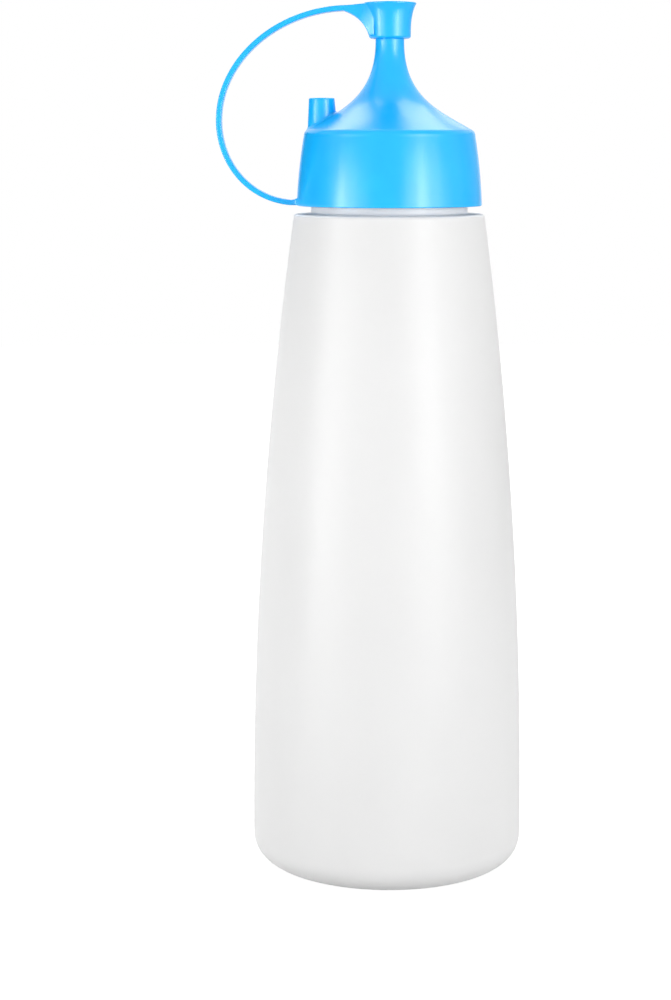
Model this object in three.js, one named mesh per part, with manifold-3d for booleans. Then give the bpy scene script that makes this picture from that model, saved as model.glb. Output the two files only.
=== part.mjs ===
// Squeeze bottle for sauce with a screw cap, a flared nozzle and a tip cap on a strap.
// Millimetres, +Z up. The origin is on the bottle's axis, in the plane that it stands on.
// +X is to the right as seen from the front, so the strap and the parking post are on the -X side.

import * as THREE from 'three';
import { mergeVertices } from 'three/addons/utils/BufferGeometryUtils.js';
import Module from 'manifold-3d';

const wasm = await Module();
wasm.setup();

// Bottle, blow-moulded
const BODY_FOOT_RADIUS = 36.35;
const BODY_TOP_RADIUS = 25.15;
const BODY_FULLNESS_SHARE = 1.016; // of the taper, still there halfway up where the side's tangents cross
const SHOULDER_HEIGHT = 175.0;
const SHOULDER_CORNER_RADIUS = 1.6;
const HEEL_RADIUS = 7.2;
const STANDING_RING_WIDTH = 2.4;
const PUSH_UP_HEIGHT = 1.0;
const PUSH_UP_RAMP = 4.0;
const BODY_WALL = 1.2;

// Neck
const NECK_COLLAR_STEP = 1.0; // beyond the neck
const NECK_COLLAR_HEIGHT = 3.0;
const NECK_RADIUS = 19.6;
const NECK_WALL = 1.5;
const NECK_HEIGHT = 19.1;
const NECK_LIP_ROUND = 0.5;

// Fits
const REST_GAP = 0.3; // between a piece and the one that it rests on
const SKIRT_CLEARANCE = 2.1; // between the bottle's shoulder and the skirt's foot
const SOCKET_CLEARANCE = 0.3; // all round the nozzle's tip
const OVERRUN = 2.0; // how far a cutter runs past the face that it opens

// Sealing washer
const WASHER_THICKNESS = 1.0;
const WASHER_OUTSIDE_MARGIN = 0.5; // beyond the neck
const WASHER_INSIDE_MARGIN = 0.6; // inside the neck's bore

// Screw cap
const THREAD_ROOM = 1.55; // between the neck and the skirt's wall at its top
const SKIRT_FLARE = 1.9; // how much further out the skirt's foot is than its top
const SKIRT_FULLNESS_SHARE = 0.805; // of that flare, still there halfway up where the tangents cross
const SKIRT_WALL = 1.3;
const SKIRT_EDGE_ROUND = 1.7;
const CAP_TOP_WALL = 1.3;
const SEAT_MARGIN = 0.5; // how much wider the washer's seat is than the washer, on the inside
const CAVITY_STEP = 1.7; // from the washer's seat up to where the hollow starts to draw in
const NOZZLE_RADIUS = 3.74;
const NOZZLE_CYLINDER_HEIGHT = 0.5;
const FLARE_HEIGHT = 22.4;
const FLARE_START_DEGREES = 60; // how far the skirt's top edge rounds over before the flare starts
const FLARE_FOOT_PULL = 9.3; // handle at the skirt
const FLARE_TOP_PULL = 14.4; // handle at the nozzle
const HOLLOW_HANDLE_RISE = 6.9; // height over the skirt at which the hollow's end tangents cross
const HOLLOW_DEPTH = 3.3; // how much lower the hollow's flare ends than the outer one
const NOZZLE_WALL = 1.24;
const BORE_TIP_RADIUS = 1.1;
const TIP_LENGTH = 7.7;
const TIP_WALL = 0.9;

// Parking post on the cap's shoulder
const POST_INSET = 1.05; // from the skirt's side to the post's foot
const POST_FOOT_RADIUS = 3.65;
const POST_TOP_RADIUS = 3.35;
const POST_HEIGHT = 8.0; // over the skirt's top edge
const POST_EDGE_ROUND = 0.35;

// Tip cap
const TIP_CAP_WALL = 1.41;
const TIP_CAP_FLARE = 1.4; // how much wider the rim at its top is than the foot, in radius
const TIP_CAP_FLARE_HEIGHT = 7.4;
const TIP_CAP_FLARE_DROP = 2.6; // under the tip cap's top, where the flare's end tangents cross
const TIP_CAP_RIM_ROUND = 0.35;
const TIP_CAP_FOOT_ROUND = 0.65;
const TIP_CAP_ROOF = 1.5;
const PEG_CLEARANCE = 0.5; // all round the sealing peg in the bore
const PEG_TAPER = 0.2;
const PEG_LENGTH = 1.2;

// Strap and its two ends
const STRAP_THICKNESS = 1.4;
const STRAP_WIDTH = 5.0;
const STRAP_STAND_OFF = 20.3; // from the skirt's foot to the band's middle, where it is furthest out
const EAR_LENGTH = 5.15; // from the tip cap's rim to where the band starts
const LUG_LENGTH = 1.65; // from the skirt's foot to where the band ends
const STRAP_EAR_DROP = 1.45; // of the band's middle under the tip cap's top, at the ear
const STRAP_EAR_SLOPE_SHARE = 0.033;
const STRAP_UPPER_PULL = 17.6; // handle at the ear
const STRAP_SHOULDER_PULL = 15.4; // handle above the furthest point
const STRAP_WAIST_PULL = 10.65; // handle below the furthest point
const STRAP_LOWER_PULL = 11.25; // handle at the lug
const STRAP_LUG_RISE = 0.85; // of the band's middle over the skirt's foot, at the lug
const STRAP_LUG_SLOPE_SHARE = 0.097;
const STRAP_FURTHEST_RISE = 21.95; // of the furthest point over the skirt's foot
const WEB_FOOT_RISE = 0.7; // of the web's foot over the tip cap's mouth
const WEB_HANDLE_STAND_OFF = 1.45; // from the tip cap's foot
const WEB_HANDLE_DROP = 3.8; // under the tip cap's top
const WEB_ROOT_DEPTH = 1.3; // into the tip cap's wall
const LUG_ROOT_SPREAD = 0.9; // how much taller the lug is where it meets the skirt

// Facets
const BODY_FACETS = 52;
const SMALL_FACETS = 36;
const POST_FACETS = 24;
const ARC_STEPS = 4;
const EDGE_STEPS = 2;
const HEEL_STEPS = 5;
const SIDE_STEPS = 8;
const SKIRT_STEPS = 4;
const FLARE_STEPS = 11;
const BAND_STEPS = 14;
const ROUND_STEPS = 6;
const RIM_STEPS = 6;
const BISECTION_STEPS = 40;
const HALF_TURN = 180;
const MERGE_DISTANCE = 0.0001;

// Radii and distances from the bottle's axis, worked out from the sizes above
const NECK_COLLAR_RADIUS = NECK_RADIUS + NECK_COLLAR_STEP;
const NECK_BORE_RADIUS = NECK_RADIUS - NECK_WALL;
const WASHER_OUTSIDE_RADIUS = NECK_RADIUS + WASHER_OUTSIDE_MARGIN;
const WASHER_INSIDE_RADIUS = NECK_BORE_RADIUS - WASHER_INSIDE_MARGIN;
const SKIRT_TOP_RADIUS = NECK_RADIUS + THREAD_ROOM + SKIRT_WALL;
const SKIRT_FOOT_RADIUS = SKIRT_TOP_RADIUS + SKIRT_FLARE;
const CAVITY_RADIUS = WASHER_INSIDE_RADIUS - SEAT_MARGIN;
const BORE_FOOT_RADIUS = NOZZLE_RADIUS - NOZZLE_WALL;
const TIP_RADIUS = BORE_TIP_RADIUS + TIP_WALL;
const POST_OFFSET = SKIRT_TOP_RADIUS - POST_INSET - POST_FOOT_RADIUS;
const TIP_CAP_FOOT_RADIUS = NOZZLE_RADIUS + SOCKET_CLEARANCE + TIP_CAP_WALL;
const TIP_CAP_RIM_RADIUS = TIP_CAP_FOOT_RADIUS + TIP_CAP_FLARE;
const PEG_FOOT_RADIUS = BORE_TIP_RADIUS - PEG_CLEARANCE;
const STRAP_REACH = SKIRT_FOOT_RADIUS + STRAP_STAND_OFF;
const STRAP_EAR_REACH = TIP_CAP_RIM_RADIUS + EAR_LENGTH;
const STRAP_LUG_REACH = SKIRT_FOOT_RADIUS + LUG_LENGTH;

// Heights, worked out from the sizes above
const SKIRT_FOOT_Z = SHOULDER_HEIGHT + SKIRT_CLEARANCE;
const NECK_TOP_Z = SHOULDER_HEIGHT + NECK_HEIGHT;
const WASHER_Z = NECK_TOP_Z + REST_GAP;
const SEAT_Z = WASHER_Z + WASHER_THICKNESS + REST_GAP;
const SKIRT_TOP_Z = SEAT_Z + CAP_TOP_WALL;
const FLARE_TOP_Z = SKIRT_TOP_Z + FLARE_HEIGHT;
const NOZZLE_SHOULDER_Z = FLARE_TOP_Z + NOZZLE_CYLINDER_HEIGHT;
const NOZZLE_TIP_Z = NOZZLE_SHOULDER_Z + TIP_LENGTH;
const MOUTH_Z = NOZZLE_SHOULDER_Z + REST_GAP;
const ROOF_Z = NOZZLE_TIP_Z + REST_GAP;
const TOP_Z = ROOF_Z + TIP_CAP_ROOF;

const bottlePlastic = new THREE.MeshStandardMaterial({
  color: 0xe9ebea, roughness: 0.45, metalness: 0, transparent: true, opacity: 0.7,
});
const capPlastic = new THREE.MeshStandardMaterial({ color: 0x1fa8f0, roughness: 0.28, metalness: 0 });
const washerFoam = new THREE.MeshStandardMaterial({ color: 0xf2f1ec, roughness: 0.8, metalness: 0 });

// Merges the shared corners, drops the collapsed triangles at the poles and turns the faces outwards
function closedMesh(geometry) {
  const bare = geometry.clone();
  bare.deleteAttribute('normal');
  bare.deleteAttribute('uv');
  const merged = mergeVertices(bare, MERGE_DISTANCE);
  const corners = merged.attributes.position;
  const index = merged.index.array;
  const kept = [];
  let volume = 0;
  const a = new THREE.Vector3();
  const b = new THREE.Vector3();
  const c = new THREE.Vector3();
  for (let i = 0; i < index.length; i += 3) {
    const [p, q, r] = [index[i], index[i + 1], index[i + 2]];
    if (p === q || q === r || r === p) continue;
    kept.push(p, q, r);
    a.fromBufferAttribute(corners, p);
    b.fromBufferAttribute(corners, q);
    c.fromBufferAttribute(corners, r);
    volume += a.dot(b.cross(c));
  }
  if (volume < 0) kept.reverse();
  return { vertProperties: new Float32Array(corners.array), triVerts: new Uint32Array(kept) };
}

function solid(geometry) {
  return new wasm.Manifold(new wasm.Mesh({ numProp: 3, ...closedMesh(geometry) }));
}

function geometryOf(manifold) {
  const { vertProperties, triVerts } = manifold.getMesh();
  const geometry = new THREE.BufferGeometry();
  geometry.setAttribute('position', new THREE.BufferAttribute(vertProperties, 3));
  geometry.setIndex(new THREE.BufferAttribute(triVerts, 1));
  return geometry;
}

// A turned form from a profile of [radius, height] points, about the Z axis
function turned(profile, facets) {
  const points = profile.map(([radius, height]) => new THREE.Vector2(radius, height));
  return solid(new THREE.LatheGeometry(points, facets).rotateX(Math.PI / 2));
}

// A flat form from an outline of [x, z] points, its width shared evenly about the XZ plane
function cutFromPlate(outline, width) {
  const shape = new THREE.Shape(outline.map(([x, z]) => new THREE.Vector2(x, z)));
  const plate = new THREE.ExtrudeGeometry(shape, { depth: width, bevelEnabled: false });
  return solid(plate.translate(0, 0, -width / 2).rotateX(Math.PI / 2));
}

// Points on an arc about (x, z), from one angle to another in degrees
function arc(x, z, radius, from, to, steps) {
  return Array.from({ length: steps + 1 }, (_, i) => {
    const angle = THREE.MathUtils.degToRad(from + ((to - from) * i) / steps);
    return [x + radius * Math.cos(angle), z + radius * Math.sin(angle)];
  });
}

// Points on a curve with one handle
function sweep(start, handle, end, steps) {
  const curve = new THREE.QuadraticBezierCurve(
    new THREE.Vector2(...start), new THREE.Vector2(...handle), new THREE.Vector2(...end));
  return curve.getPoints(steps).map((p) => [p.x, p.y]);
}

function mesh(name, manifold, material) {
  const made = new THREE.Mesh(geometryOf(manifold), material);
  made.name = name;
  return made;
}

// The bottle's side, shoulder and heel at a given depth under its outer skin
function bodySide(depth) {
  const corner = SHOULDER_CORNER_RADIUS - depth;
  const heel = HEEL_RADIUS - depth;
  const fullness = BODY_TOP_RADIUS + (BODY_FOOT_RADIUS - BODY_TOP_RADIUS) * BODY_FULLNESS_SHARE;
  const cornerX = BODY_TOP_RADIUS - SHOULDER_CORNER_RADIUS;
  const cornerZ = SHOULDER_HEIGHT - SHOULDER_CORNER_RADIUS;
  return [
    ...arc(BODY_FOOT_RADIUS - HEEL_RADIUS, HEEL_RADIUS, heel, -90, 0, HEEL_STEPS),
    ...sweep(
      [BODY_FOOT_RADIUS - depth, HEEL_RADIUS],
      [fullness - depth, (HEEL_RADIUS + cornerZ) / 2],
      [BODY_TOP_RADIUS - depth, cornerZ], SIDE_STEPS).slice(1),
    ...arc(cornerX, cornerZ, corner, 0, 90, ARC_STEPS).slice(1),
  ];
}

function bottleBody() {
  const ringOutside = BODY_FOOT_RADIUS - HEEL_RADIUS;
  const ringInside = ringOutside - STANDING_RING_WIDTH;
  const collarTop = SHOULDER_HEIGHT + NECK_COLLAR_HEIGHT;
  const lipZ = NECK_TOP_Z - NECK_LIP_ROUND;
  const floorZ = PUSH_UP_HEIGHT + BODY_WALL;
  const outside = [
    [0, PUSH_UP_HEIGHT],
    [ringInside - PUSH_UP_RAMP, PUSH_UP_HEIGHT],
    [ringInside, 0],
    ...bodySide(0),
    [NECK_COLLAR_RADIUS, SHOULDER_HEIGHT],
    [NECK_COLLAR_RADIUS, collarTop],
    [NECK_RADIUS, collarTop],
    ...arc(NECK_RADIUS - NECK_LIP_ROUND, lipZ, NECK_LIP_ROUND, 0, 90, EDGE_STEPS),
  ];
  const inside = [
    ...arc(NECK_BORE_RADIUS + NECK_LIP_ROUND, lipZ, NECK_LIP_ROUND, 90, 180, EDGE_STEPS),
    [NECK_BORE_RADIUS, SHOULDER_HEIGHT - BODY_WALL],
    ...bodySide(BODY_WALL).reverse(),
    [ringInside, BODY_WALL],
    [ringInside - PUSH_UP_RAMP, floorZ],
    [0, floorZ],
  ];
  return turned([...outside, ...inside], BODY_FACETS);
}

function sealingWasher() {
  const top = WASHER_Z + WASHER_THICKNESS;
  return turned([
    [WASHER_INSIDE_RADIUS, WASHER_Z],
    [WASHER_OUTSIDE_RADIUS, WASHER_Z],
    [WASHER_OUTSIDE_RADIUS, top],
    [WASHER_INSIDE_RADIUS, top],
    [WASHER_INSIDE_RADIUS, WASHER_Z],
  ], BODY_FACETS);
}

// The cap's outer skin: skirt, rounded top edge, flare, nozzle and tapered tip
function capOutside() {
  const fullness = SKIRT_TOP_RADIUS + SKIRT_FLARE * SKIRT_FULLNESS_SHARE;
  const edgeZ = SKIRT_TOP_Z - SKIRT_EDGE_ROUND;
  const edgeX = SKIRT_TOP_RADIUS - SKIRT_EDGE_ROUND;
  const edge = arc(edgeX, edgeZ, SKIRT_EDGE_ROUND, 0, FLARE_START_DEGREES, ARC_STEPS);
  const start = new THREE.Vector2(...edge.at(-1));
  const turn = THREE.MathUtils.degToRad(FLARE_START_DEGREES);
  const flare = new THREE.CubicBezierCurve(
    start,
    new THREE.Vector2(start.x - FLARE_FOOT_PULL * Math.sin(turn), start.y + FLARE_FOOT_PULL * Math.cos(turn)),
    new THREE.Vector2(NOZZLE_RADIUS, FLARE_TOP_Z - FLARE_TOP_PULL),
    new THREE.Vector2(NOZZLE_RADIUS, FLARE_TOP_Z));
  return [
    [0, SKIRT_FOOT_Z],
    ...sweep([SKIRT_FOOT_RADIUS, SKIRT_FOOT_Z], [fullness, (SKIRT_FOOT_Z + edgeZ) / 2],
      [SKIRT_TOP_RADIUS, edgeZ], SKIRT_STEPS).slice(0, -1),
    ...edge,
    ...flare.getPoints(FLARE_STEPS).slice(1).map((p) => [p.x, p.y]),
    [NOZZLE_RADIUS, NOZZLE_SHOULDER_Z],
    [TIP_RADIUS, NOZZLE_TIP_Z],
    [0, NOZZLE_TIP_Z],
  ];
}

// The cap's hollow: the room for the neck, the washer's seat, the space under the flare and the bore
function capHollow() {
  const footRadius = SKIRT_FOOT_RADIUS - SKIRT_WALL;
  const topRadius = SKIRT_TOP_RADIUS - SKIRT_WALL;
  return [
    [0, SKIRT_FOOT_Z - OVERRUN],
    [footRadius, SKIRT_FOOT_Z - OVERRUN],
    [footRadius, SKIRT_FOOT_Z],
    [topRadius, SEAT_Z],
    [CAVITY_RADIUS, SEAT_Z],
    ...sweep([CAVITY_RADIUS, SEAT_Z + CAVITY_STEP],
      [BORE_FOOT_RADIUS, SKIRT_TOP_Z + HOLLOW_HANDLE_RISE],
      [BORE_FOOT_RADIUS, FLARE_TOP_Z - HOLLOW_DEPTH], FLARE_STEPS),
    [BORE_TIP_RADIUS, NOZZLE_TIP_Z],
    [BORE_TIP_RADIUS, NOZZLE_TIP_Z + OVERRUN],
    [0, NOZZLE_TIP_Z + OVERRUN],
  ];
}

function parkingPost() {
  const top = SKIRT_TOP_Z + POST_HEIGHT;
  return turned([
    [0, SEAT_Z],
    [POST_FOOT_RADIUS, SEAT_Z],
    ...arc(POST_TOP_RADIUS - POST_EDGE_ROUND, top - POST_EDGE_ROUND, POST_EDGE_ROUND, 0, 90, EDGE_STEPS),
    [0, top],
  ], POST_FACETS).translate([-POST_OFFSET, 0, 0]);
}

// The lug on the skirt's foot that the strap grows out of, taller where it meets the skirt
function strapLug() {
  const root = -SKIRT_FOOT_RADIUS + SKIRT_WALL / 2;
  const [face] = bandEdges(bandCurves().lower, 0, 0, 1);
  return cutFromPlate([
    face.left,
    [root, SKIRT_FOOT_Z],
    [root, face.right[1] + LUG_ROOT_SPREAD],
    face.right,
  ], STRAP_WIDTH);
}

function screwCap() {
  return turned(capOutside(), BODY_FACETS)
    .add(parkingPost())
    .add(strapLug())
    .subtract(turned(capHollow(), BODY_FACETS));
}

// The ear that carries the strap, with a curved web down the tip cap's side
function tipCapEar() {
  const [face] = bandEdges(bandCurves().upper, 1, 1, 1);
  const root = -TIP_CAP_FOOT_RADIUS + WEB_ROOT_DEPTH;
  const webFoot = MOUTH_Z + WEB_FOOT_RISE;
  return cutFromPlate([
    face.left,
    ...sweep(face.right, [-TIP_CAP_FOOT_RADIUS - WEB_HANDLE_STAND_OFF, TOP_Z - WEB_HANDLE_DROP],
      [-TIP_CAP_FOOT_RADIUS, webFoot], ROUND_STEPS),
    [root, webFoot],
    [root, TOP_Z - TIP_CAP_RIM_ROUND / 2],
    [-TIP_CAP_RIM_RADIUS + TIP_CAP_RIM_ROUND, TOP_Z - TIP_CAP_RIM_ROUND / 2],
  ], STRAP_WIDTH);
}

function tipCap() {
  const footZ = MOUTH_Z + TIP_CAP_FOOT_ROUND;
  const outside = [
    [0, MOUTH_Z],
    ...arc(TIP_CAP_FOOT_RADIUS - TIP_CAP_FOOT_ROUND, footZ, TIP_CAP_FOOT_ROUND, -90, 0, ARC_STEPS),
    ...sweep([TIP_CAP_FOOT_RADIUS, TOP_Z - TIP_CAP_FLARE_HEIGHT],
      [TIP_CAP_FOOT_RADIUS, TOP_Z - TIP_CAP_FLARE_DROP],
      [TIP_CAP_RIM_RADIUS, TOP_Z - TIP_CAP_RIM_ROUND], RIM_STEPS).slice(0, -1),
    ...arc(TIP_CAP_RIM_RADIUS - TIP_CAP_RIM_ROUND, TOP_Z - TIP_CAP_RIM_ROUND, TIP_CAP_RIM_ROUND,
      0, 90, EDGE_STEPS),
    [0, TOP_Z],
  ];
  const taperShare = (NOZZLE_RADIUS - TIP_RADIUS) / TIP_LENGTH;
  const socket = [
    [0, MOUTH_Z - OVERRUN],
    [NOZZLE_RADIUS + SOCKET_CLEARANCE + taperShare * OVERRUN, MOUTH_Z - OVERRUN],
    [TIP_RADIUS + SOCKET_CLEARANCE, ROOF_Z],
    [PEG_FOOT_RADIUS, ROOF_Z],
    [PEG_FOOT_RADIUS - PEG_TAPER, ROOF_Z - PEG_LENGTH],
    [0, ROOF_Z - PEG_LENGTH],
  ];
  return turned(outside, SMALL_FACETS)
    .add(tipCapEar())
    .subtract(turned(socket, SMALL_FACETS));
}

// The middle line of the strap's band in the XZ plane, from the lug to its furthest point and on to the ear
function bandCurves() {
  const furthest = new THREE.Vector2(-STRAP_REACH, SKIRT_FOOT_Z + STRAP_FURTHEST_RISE);
  const ear = new THREE.Vector2(-STRAP_EAR_REACH, TOP_Z - STRAP_EAR_DROP);
  const lug = new THREE.Vector2(-STRAP_LUG_REACH, SKIRT_FOOT_Z + STRAP_LUG_RISE);
  const upper = new THREE.CubicBezierCurve(
    furthest,
    new THREE.Vector2(furthest.x, furthest.y + STRAP_SHOULDER_PULL),
    new THREE.Vector2(ear.x - STRAP_UPPER_PULL, ear.y - STRAP_UPPER_PULL * STRAP_EAR_SLOPE_SHARE),
    ear);
  const lower = new THREE.CubicBezierCurve(
    lug,
    new THREE.Vector2(lug.x - STRAP_LOWER_PULL, lug.y + STRAP_LOWER_PULL * STRAP_LUG_SLOPE_SHARE),
    new THREE.Vector2(furthest.x, furthest.y - STRAP_WAIST_PULL),
    furthest);
  return { lower, upper };
}

// The share of a curve's run at which a test on its point first holds, between two shares
function shareWhere(curve, from, to, test) {
  let [before, after] = [from, to];
  for (let i = 0; i < BISECTION_STEPS; i += 1) {
    const middle = (before + after) / 2;
    if (test(curve.getPoint(middle))) after = middle;
    else before = middle;
  }
  return after;
}

// The band bends at the height of the tip cap's mouth when the tip cap swings
function bendShare(upper) {
  return shareWhere(upper, 0, 1, (point) => point.y > MOUTH_Z);
}

// The two edges of the band along a curve, half its thickness to each side of the middle line
function bandEdges(curve, from, to, steps) {
  return Array.from({ length: steps + 1 }, (_, i) => {
    const share = from + ((to - from) * i) / steps;
    const point = curve.getPoint(share);
    const along = curve.getTangent(share);
    const across = new THREE.Vector2(-along.y, along.x).multiplyScalar(STRAP_THICKNESS / 2);
    return {
      left: [point.x + across.x, point.y + across.y],
      right: [point.x - across.x, point.y - across.y],
    };
  });
}

// A half round at a curve's share, from the band's left edge to its right, bulging forwards or backwards
function bandRound(curve, share, turn) {
  const point = curve.getPoint(share);
  const along = curve.getTangent(share);
  const left = THREE.MathUtils.radToDeg(Math.atan2(along.x, -along.y));
  return arc(point.x, point.y, STRAP_THICKNESS / 2, left, left + turn, ROUND_STEPS).slice(1, -1);
}

// From the lug round the loop to a rounded end just short of the bend
function strapLower() {
  const { lower, upper } = bandCurves();
  const bend = bendShare(upper);
  const bendPoint = upper.getPoint(bend);
  const reach = STRAP_THICKNESS + REST_GAP;
  const stop = shareWhere(upper, 0, bend, (point) => point.distanceTo(bendPoint) < reach);
  const edges = [
    ...bandEdges(lower, 0, 1, BAND_STEPS),
    ...bandEdges(upper, 0, stop, BAND_STEPS / 2).slice(1),
  ];
  return cutFromPlate([
    ...edges.map((edge) => edge.left),
    ...bandRound(upper, stop, -HALF_TURN),
    ...edges.map((edge) => edge.right).reverse(),
  ], STRAP_WIDTH);
}

// From a rounded end at the bend to the tip cap's ear
function strapUpper() {
  const { upper } = bandCurves();
  const bend = bendShare(upper);
  const edges = bandEdges(upper, bend, 1, BAND_STEPS);
  return cutFromPlate([
    ...edges.map((edge) => edge.right),
    ...edges.map((edge) => edge.left).reverse(),
    ...bandRound(upper, bend, HALF_TURN),
  ], STRAP_WIDTH);
}

const bottle = new THREE.Group();
bottle.add(mesh('bottle_body', bottleBody(), bottlePlastic));
bottle.add(mesh('sealing_washer', sealingWasher(), washerFoam));
bottle.add(mesh('screw_cap', screwCap(), capPlastic));
bottle.add(mesh('strap_lower', strapLower(), capPlastic));
bottle.add(mesh('strap_upper', strapUpper(), capPlastic));
bottle.add(mesh('tip_cap', tipCap(), capPlastic));

export default bottle;
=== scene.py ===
"""Sauce bottle in a plain studio: frosted body, foam washer, blue screw cap, strap and tip cap.

Lengths are in metres, +Z is up and the bottle stands on Z = 0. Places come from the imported
model's boxes, and the sizes that its boxes don't show are fields of the piece that has them.
"""

from __future__ import annotations

import logging
import math
from collections.abc import Sequence
from dataclasses import dataclass, field
from enum import Enum

import bmesh
import bpy
from mathutils import Matrix, Vector

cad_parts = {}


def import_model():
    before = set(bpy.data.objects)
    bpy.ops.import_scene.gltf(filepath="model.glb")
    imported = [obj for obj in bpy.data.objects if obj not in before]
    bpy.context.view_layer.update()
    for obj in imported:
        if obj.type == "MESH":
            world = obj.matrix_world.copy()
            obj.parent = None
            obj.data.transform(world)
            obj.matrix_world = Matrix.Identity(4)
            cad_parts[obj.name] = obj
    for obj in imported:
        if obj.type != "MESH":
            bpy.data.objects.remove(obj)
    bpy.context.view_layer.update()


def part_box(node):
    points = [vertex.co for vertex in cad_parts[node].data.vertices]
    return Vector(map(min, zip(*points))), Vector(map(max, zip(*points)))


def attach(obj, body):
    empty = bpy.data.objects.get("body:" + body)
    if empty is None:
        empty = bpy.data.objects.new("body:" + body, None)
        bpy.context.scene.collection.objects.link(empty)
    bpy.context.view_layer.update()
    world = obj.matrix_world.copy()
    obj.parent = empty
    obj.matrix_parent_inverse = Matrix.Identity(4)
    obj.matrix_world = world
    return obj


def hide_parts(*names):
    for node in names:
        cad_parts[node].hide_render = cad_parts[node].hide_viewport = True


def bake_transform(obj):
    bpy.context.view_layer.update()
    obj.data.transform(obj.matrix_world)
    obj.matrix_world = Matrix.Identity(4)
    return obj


log = logging.getLogger("sauce_bottle")

MM = 0.001
FULL_TURN = 2 * math.pi
QUARTER_TURN = 90.0
WELD = 1e-6
SHARP_ANGLE = math.radians(38)
WHITE = (1.0, 1.0, 1.0, 1.0)

Point = tuple[float, float]
Colour = tuple[float, float, float]


class Slot(Enum):
    """The finishes that the record names."""

    BOTTLE_PLASTIC = "bottle_plastic"
    CAP_PLASTIC = "cap_plastic"
    WASHER_FOAM = "washer_foam"


class Carrier(Enum):
    """The moving bodies that a piece can ride on."""

    BOTTLE = "bottle"
    SEAL = "seal"
    CAP = "cap"
    TIP = "tip"


def smoothstep(share: float) -> float:
    """Eases a share from 0 to 1, level at both ends."""
    share = min(max(share, 0.0), 1.0)
    return share * share * (3 - 2 * share)


def mixed(low: float, high: float, share: float) -> float:
    """Gives the value at a share of the way from one value to another."""
    return low + (high - low) * share


def on_curve(handles: Sequence[Sequence[float]], share: float) -> Sequence[float]:
    """Gives the place at a share of a curve's run.

    Args:
        handles: The curve's start, its handles in order and its end.
        share: 0 at the start and 1 at the end.

    Returns:
        The place, with as many numbers as a handle has.
    """
    places = handles
    while len(places) > 1:
        places = [
            tuple(mixed(a, b, share) for a, b in zip(before, after))
            for before, after in zip(places, places[1:])
        ]
    return places[0]


class Outline:
    """A run of (radius, height) points, drawn from one end to the other."""

    def __init__(self, radius: float, height: float) -> None:
        """Starts the run at a distance from the axis and a height."""
        self.points: list[Point] = [(radius, height)]

    def curve(self, *handles: Point, steps: int) -> Outline:
        """Draws a curve, or a straight stretch where the end is its only handle.

        Args:
            handles: The handles in order, and the end last.
            steps: How many steps it has.

        Returns:
            The outline itself, so that stretches can be chained.
        """
        run = (self.points[-1], *handles)
        self.points += [on_curve(run, step / steps) for step in range(1, steps + 1)]
        return self

    def to(self, radius: float, height: float, steps: int = 1) -> Outline:
        """Draws a straight stretch, in equal steps."""
        return self.curve((radius, height), steps=steps)

    def step_to(self, radius: float, height: float, steps: int) -> Outline:
        """Draws an S-shaped stretch whose height is level at both ends.

        Args:
            radius: Distance of its end from the axis.
            height: Height of its end.
            steps: How many steps it has.

        Returns:
            The outline itself.
        """
        start_radius, start_height = self.points[-1]
        reach = (radius - start_radius) / 3
        return self.curve(
            (start_radius + reach, start_height), (radius - reach, height), (radius, height), steps=steps)

    def corner(self, radius: float, height: float, edge: float, start: float,
               turn: float = QUARTER_TURN, steps: int = 6) -> Outline:
        """Rounds a corner.

        Args:
            radius: Distance of the sharp corner from the axis.
            height: Height of the sharp corner.
            edge: The radius of the rounding.
            start: Where its arc starts, in degrees from the outward direction.
            turn: How far the arc turns, in degrees, anticlockwise when positive.
            steps: How many steps it has.

        Returns:
            The outline itself.
        """
        middle = math.radians(start + turn / 2)
        radius -= edge * math.copysign(1, math.cos(middle))
        height -= edge * math.copysign(1, math.sin(middle))
        for step in range(steps + 1):
            angle = math.radians(start + turn * step / steps)
            self.points.append((radius + edge * math.cos(angle), height + edge * math.sin(angle)))
        return self

    def height_at(self, radius: float) -> float:
        """Gives the height where the outline first crosses a radius.

        Args:
            radius: The radius.

        Returns:
            The height there, or the first point's where it doesn't cross it.
        """
        for (a, low), (b, high) in zip(self.points, self.points[1:]):
            if a != b and min(a, b) <= radius <= max(a, b) + WELD:
                return low + (high - low) * (radius - a) / (b - a)
        return self.points[0][1]


@dataclass(frozen=True)
class Thread:
    """A right-hand screw thread on an upright wall.

    The ridge starts at a height and climbs by the pitch for each turn, anticlockwise from above.
    """

    start_height: float
    turns: float
    height: float
    pitch: float = 5.0 * MM
    crest_width: float = 0.7 * MM
    root_width: float = 2.3 * MM
    run_out_turns: float = 0.1
    wall_gap: float = 0.01 * MM

    def rise(self, point: Vector) -> float:
        """Gives how far the ridge stands out of the wall at a point.

        Args:
            point: A point on the plain wall.

        Returns:
            The height of the ridge there, 0 beside it.
        """
        angle_share = (math.atan2(point.y, point.x) / FULL_TURN) % 1.0
        best = 0.0
        for whole_turn in range(math.ceil(self.turns) + 1):
            along = angle_share + whole_turn
            if along > self.turns:
                break
            distance = abs(point.z - self.start_height - self.pitch * along)
            flank = (self.root_width / 2 - distance) * 2 / (self.root_width - self.crest_width)
            ends = smoothstep(min(along, self.turns - along) / self.run_out_turns)
            best = max(best, min(max(flank, 0.0), 1.0) * ends)
        return best * self.height

    def cut(self, bm: bmesh.types.BMesh, foot: Point, top: Point, outwards: int) -> None:
        """Raises the ridge on a straight wall.

        Args:
            bm: The shell that has the wall.
            foot: The wall's lower end.
            top: Its upper end.
            outwards: 1 on the wall's outside and -1 on its inside.
        """
        for point in bm.verts:
            radius = math.hypot(point.co.x, point.co.y)
            share = (point.co.z - foot[1]) / (top[1] - foot[1])
            wall = mixed(foot[0], top[0], share)
            if 0 < share < 1 and abs(radius - wall) < self.wall_gap:
                grown = 1 + outwards * self.rise(point.co) / radius
                point.co.x *= grown
                point.co.y *= grown


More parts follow.
